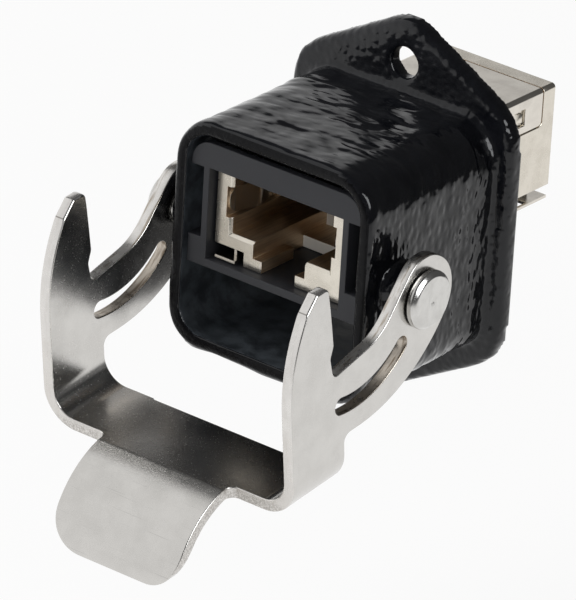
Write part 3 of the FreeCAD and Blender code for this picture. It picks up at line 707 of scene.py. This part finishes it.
def is_eye_corner(edge):
    """True for an edge across the sheet where an arm's top meets its eye at a slight corner."""
    if along_outline(edge) or not edge.is_manifold:
        return False
    on_eye = abs(side_distance(edge.verts[0].co, PIVOT) - EYE_R) < EYE_SLACK
    return on_eye and CORNER_ANGLE < edge.calc_face_angle() < SHARP_ANGLE


def ease_eyes(bm):
    """Rounds the corner of the sheet's outline where each arm's top runs into its eye."""
    corners = [edge for edge in bm.edges if is_eye_corner(edge)]
    spot = corners[0].verts[0].co.copy()
    long_edges = {edge for corner in corners for vert in corner.verts for edge in vert.link_edges
                  if along_outline(edge) and edge.calc_length() > EYE_EASE}
    bmesh.ops.subdivide_edges(bm, edges=list(long_edges), cuts=EYE_CUTS)
    near = [vert for vert in bm.verts if side_distance(vert.co, spot) < EYE_EASE]
    for step in range(EYE_STEPS):
        moved = []
        for vert in near:
            beside = [edge.other_vert(vert).co for edge in vert.link_edges if along_outline(edge)]
            moved.append((vert.co + (beside[0] + beside[1]) / 2) / 2)
        for vert, place in zip(near, moved):
            vert.co = place
    bm.normal_update()


def on_finger(edge):
    return all(lever_height(vert.co) > FINGER_CREASE for vert in edge.verts)


def make_lever(*materials):
    """The locking lever: its cut edges marked, its eyes eased, its edges rounded, most on the fingers."""
    bm = node_mesh("locking_lever")
    mark_sheared(bm)
    ease_eyes(bm)
    round_edges(bm, FINGER_EDGE, FINE_STEPS, [edge for edge in sharp_edges(bm) if on_finger(edge)])
    round_edges(bm, LEVER_EDGE, FINE_STEPS)
    piece = new_piece("locking_lever_finish", bm, "lever", "locking_lever", "stainless_sheet", *materials)
    weigh_normals(piece)


def in_cavity(point):
    """True on the walls of the square cavity with its rounded corners."""
    straight = CAVITY_SIDE - CAVITY_R
    corner = Vector((max(abs(point.x) - straight, 0), max(abs(point.z) - straight, 0)))
    return corner.length < CAVITY_R + CAVITY_SLACK and point.y > RIM_BACK


def on_flange_edge(point):
    outside = max(abs(point.x), abs(point.z)) - BOX_SIDE
    return outside > FLANGE_OUT and EDGE_FRONT < point.y < EDGE_REAR


def on_boss(point):
    return abs(point.x) > BOSS_START and point.y < BOSS_REAR


def coat_share(point):
    """How far the coat is lumpy: full on the box's top, less elsewhere, none on fitting faces."""
    if in_cavity(point) or on_boss(point) or point.y > FLANGE_REAR:
        return 0.0
    if point.y > FLANGE_FRONT:
        return FLANGE_LUMPS
    if point.y < RIM_BACK:
        return RIM_LUMPS
    side = min(max((abs(point.x) - BOX_SIDE) / SIDE_BLEND + 1.0, 0.0), 1.0)
    return 1.0 - SIDE_CALM * side


def lump_height(point):
    """Height of the coat at a point, as a share of the lump height."""
    place = point * LUMP_STRETCH / LUMP_SIZE
    swirl = Vector([noise.noise(place * SWIRL_SIZE + shift) for shift in SWIRL_SHIFTS])
    broad = noise.noise(place * BROAD_SIZE + swirl * BROAD_SWIRL)
    fine = noise.noise(place * FINE_SIZE + swirl)
    return broad + FINE_SHARE * fine


def coat_at(face):
    """Number of a housing face's material."""
    middle = face.calc_center_median()
    if in_cavity(middle):
        return COAT_CAVITY
    return COAT_RIM if middle.y < RIM_FACE else COAT_OUTSIDE


def evened_housing():
    """The housing's mesh in small, even faces."""
    blank = new_object("housing_blank", merged_mesh("housing"))
    even = blank.modifiers.new("even faces", "REMESH")
    even.mode = "VOXEL"
    even.voxel_size = COAT_VOXEL
    shaped = bpy.data.meshes.new_from_object(blank.evaluated_get(bpy.context.evaluated_depsgraph_get()))
    bm = bmesh.new()
    bm.from_mesh(shaped)
    bpy.data.objects.remove(blank)
    return bm


def smooth(bm, verts, steps, factor):
    for step in range(steps):
        bmesh.ops.smooth_vert(bm, verts=verts, factor=factor, use_axis_x=True, use_axis_y=True,
                              use_axis_z=True)


def make_housing(*coats):
    """The housing with its lumpy coat: evened into small faces, its edges softened, and the lumps raised."""
    bm = evened_housing()
    smooth(bm, bm.verts[:], COAT_SMOOTHING, COAT_SMOOTH_STEP)
    flange_edge = [vert for vert in bm.verts if on_flange_edge(vert.co) or on_boss(vert.co)]
    smooth(bm, flange_edge, FLANGE_SMOOTHING, FLANGE_SMOOTH_STEP)
    bm.normal_update()
    for face in bm.faces:
        face.material_index = coat_at(face)
    for vert in bm.verts:
        lift = coat_share(vert.co) * (COAT_BUILD + LUMP_HEIGHT * lump_height(vert.co))
        vert.co += vert.normal * lift
        for axis in range(3):
            vert.co[axis] = min(max(vert.co[axis], HOUSING_LOW[axis]), HOUSING_HIGH[axis])
    new_piece("housing_finish", bm, "base", "housing", "housing_coat", *coats)


def dress_node(node, material):
    """Gives a node that stays as it is its finish."""
    mesh = frame["nodes"][node].data
    mesh.materials.clear()
    mesh.materials.append(material)


def make_pieces():
    """Every piece of the part, from the housing to the contacts."""
    shell_platings_with_painted_light = (cast_nickel(), tunnel_nickel_painted_shade(), end_wall_nickel_painted_light())
    folded = sheet_nickel()
    turned = turned_steel()
    plastic = carrier_plastic()
    gold = contact_gold()
    make_housing(black_coat(), cavity_coat(), rim_coat())
    make_lever(tumbled_steel(), sheared_steel())
    for side in ("right", "left"):
        rounded_copy("pivot_pin_" + side, "stainless_turned", PIN_EDGE, FINE_STEPS, turned)
    rounded_copy("insert_frame", "insert_plastic", INSERT_EDGE, PLAIN_STEPS, insert_plastic())
    make_shell("front_shell", 1, *shell_platings_with_painted_light)
    make_shell("rear_shell", -1, *shell_platings_with_painted_light)
    rounded_copy("rear_shield", "nickel_sheet", SHIELD_EDGE, PLAIN_STEPS, folded)
    dress_node("panel_seal", seal_rubber())
    dress_node("coupler_board", board_laminate())
    for end in ("front", "rear"):
        for strip in ("tongue", "spring_right", "spring_left"):
            dress_node(f"{end}_{strip}", folded)
        dress_node(end + "_carrier", plastic)
        for number in range(1, CONTACTS + 1):
            dress_node(f"{end}_contact_{number}", gold)


def mirrored(tree, path):
    """1 for the rays that metal and glass send out."""
    return calculate(tree, "MAXIMUM", path["Is Glossy Ray"], path["Is Transmission Ray"])


def floor_finish():
    """White floor that keeps a soft shadow, and that mirrors show white near the part and on the left."""
    material = bpy.data.materials.new("white floor")
    material.use_nodes = True
    tree = material.node_tree
    tree.nodes.remove(tree.nodes["Principled BSDF"])
    path = add_node(tree, "ShaderNodeLightPath").outputs
    matte = add_node(tree, "ShaderNodeBsdfDiffuse", {"Color": (FLOOR_WHITE, FLOOR_WHITE, FLOOR_WHITE, 1)})
    place = add_node(tree, "ShaderNodeTexCoord").outputs["Object"]
    heading = add_node(tree, "ShaderNodeVectorMath", {0: place}, operation="NORMALIZE").outputs["Vector"]
    near = spread(tree, length_of(tree, place), FLOOR_BRIGHT, FLOOR_DARK, 1.0, DARK_LEVEL)
    on_left = spread(tree, dot(tree, heading, BRIGHT_SIDE), BRIGHT_START, BRIGHT_FULL)
    mirror = calculate(tree, "MAXIMUM", near, on_left)
    level = calculate(tree, "MAXIMUM", mirror, path["Is Camera Ray"])
    glow = add_node(tree, "ShaderNodeEmission", {"Color": (1, 1, 1, 1), "Strength": level})
    seen = calculate(tree, "MULTIPLY", path["Is Camera Ray"], FLOOR_GLOW)
    share = calculate(tree, "MAXIMUM", seen, mirrored(tree, path))
    mix = add_node(tree, "ShaderNodeMixShader", {0: share, 1: matte.outputs[0], 2: glow.outputs[0]})
    tree.links.new(mix.outputs[0], tree.nodes["Material Output"].inputs["Surface"])
    return material


def make_floor():
    bm = bmesh.new()
    bmesh.ops.create_grid(bm, x_segments=1, y_segments=1, size=FLOOR_SIZE / 2,
                          matrix=Matrix.Translation((0, 0, FLOOR_Z)))
    floor = new_object("floor", bm)
    floor.data.materials.append(floor_finish())


def make_world():
    """White to the camera; in mirrors and as ambient light, dark with a wall and a panel on the left."""
    world = bpy.data.worlds.new("studio")
    world.use_nodes = True
    bpy.context.scene.world = world
    tree = world.node_tree
    path = add_node(tree, "ShaderNodeLightPath").outputs
    ray = add_node(tree, "ShaderNodeTexCoord").outputs["Generated"]
    axes = axes_of(tree, ray)
    on_left = spread(tree, dot(tree, ray, BRIGHT_SIDE), BRIGHT_START, BRIGHT_FULL)
    wall = spread(tree, axes["Z"], WALL_FULL, WALL_END, 1.0, 0.0)
    panel = spread(tree, axes["Y"], PANEL_FULL, PANEL_END, 1.0, 0.0)
    bright = calculate(tree, "MULTIPLY", on_left, calculate(tree, "MAXIMUM", wall, panel))
    studio = spread(tree, bright, 0.0, 1.0, DARK_LEVEL, BRIGHT_LEVEL)
    level = spread(tree, mirrored(tree, path), 0.0, 1.0, AMBIENT, 1.0)
    lit = calculate(tree, "MULTIPLY", studio, level)
    background = tree.nodes["Background"]
    background.inputs["Color"].default_value = (1, 1, 1, 1)
    strength = calculate(tree, "MAXIMUM", lit, path["Is Camera Ray"])
    tree.links.new(strength, background.inputs["Strength"])


def add_softbox(name, place, size, watts, colour, unseen_by):
    """A square softbox that faces the part."""
    lamp = bpy.data.lights.new(name, "AREA")
    lamp.shape = "SQUARE"
    lamp.size = size
    lamp.energy = watts
    lamp.color = colour
    box = bpy.data.objects.new(name, lamp)
    bpy.context.scene.collection.objects.link(box)
    box.location = place
    box.rotation_euler = (Vector(place) - VIEW_AIM).to_track_quat("Z", "Y").to_euler()
    box.visible_camera = False
    setattr(box, unseen_by, False)


def make_camera():
    """The photograph's view, turned about its own axis by the roll."""
    lens = bpy.data.cameras.new("photo view")
    lens.sensor_fit = "HORIZONTAL"
    lens.sensor_width = SENSOR_WIDTH
    lens.lens = LENS
    lens.clip_start = CLIP_NEAR
    lens.clip_end = CLIP_FAR
    camera = bpy.data.objects.new("photo view", lens)
    bpy.context.scene.collection.objects.link(camera)
    flat_right = Vector((math.cos(VIEW_AZIMUTH), math.sin(VIEW_AZIMUTH), 0))
    flat_back = Vector((math.sin(VIEW_AZIMUTH), -math.cos(VIEW_AZIMUTH), 0))
    back = flat_back * math.cos(VIEW_ELEVATION) + Vector((0, 0, math.sin(VIEW_ELEVATION)))
    right = flat_right * math.cos(VIEW_ROLL) + back.cross(flat_right) * math.sin(VIEW_ROLL)
    turn = Matrix((right, back.cross(right), back)).transposed()
    camera.matrix_world = Matrix.Translation(VIEW_AIM + back * VIEW_DISTANCE) @ turn.to_4x4()
    bpy.context.scene.camera = camera


make_pieces()
make_floor()
make_world()
for softbox in SOFTBOXES:
    add_softbox(*softbox)
make_camera()
bpy.context.scene.view_settings.view_transform = "Standard"
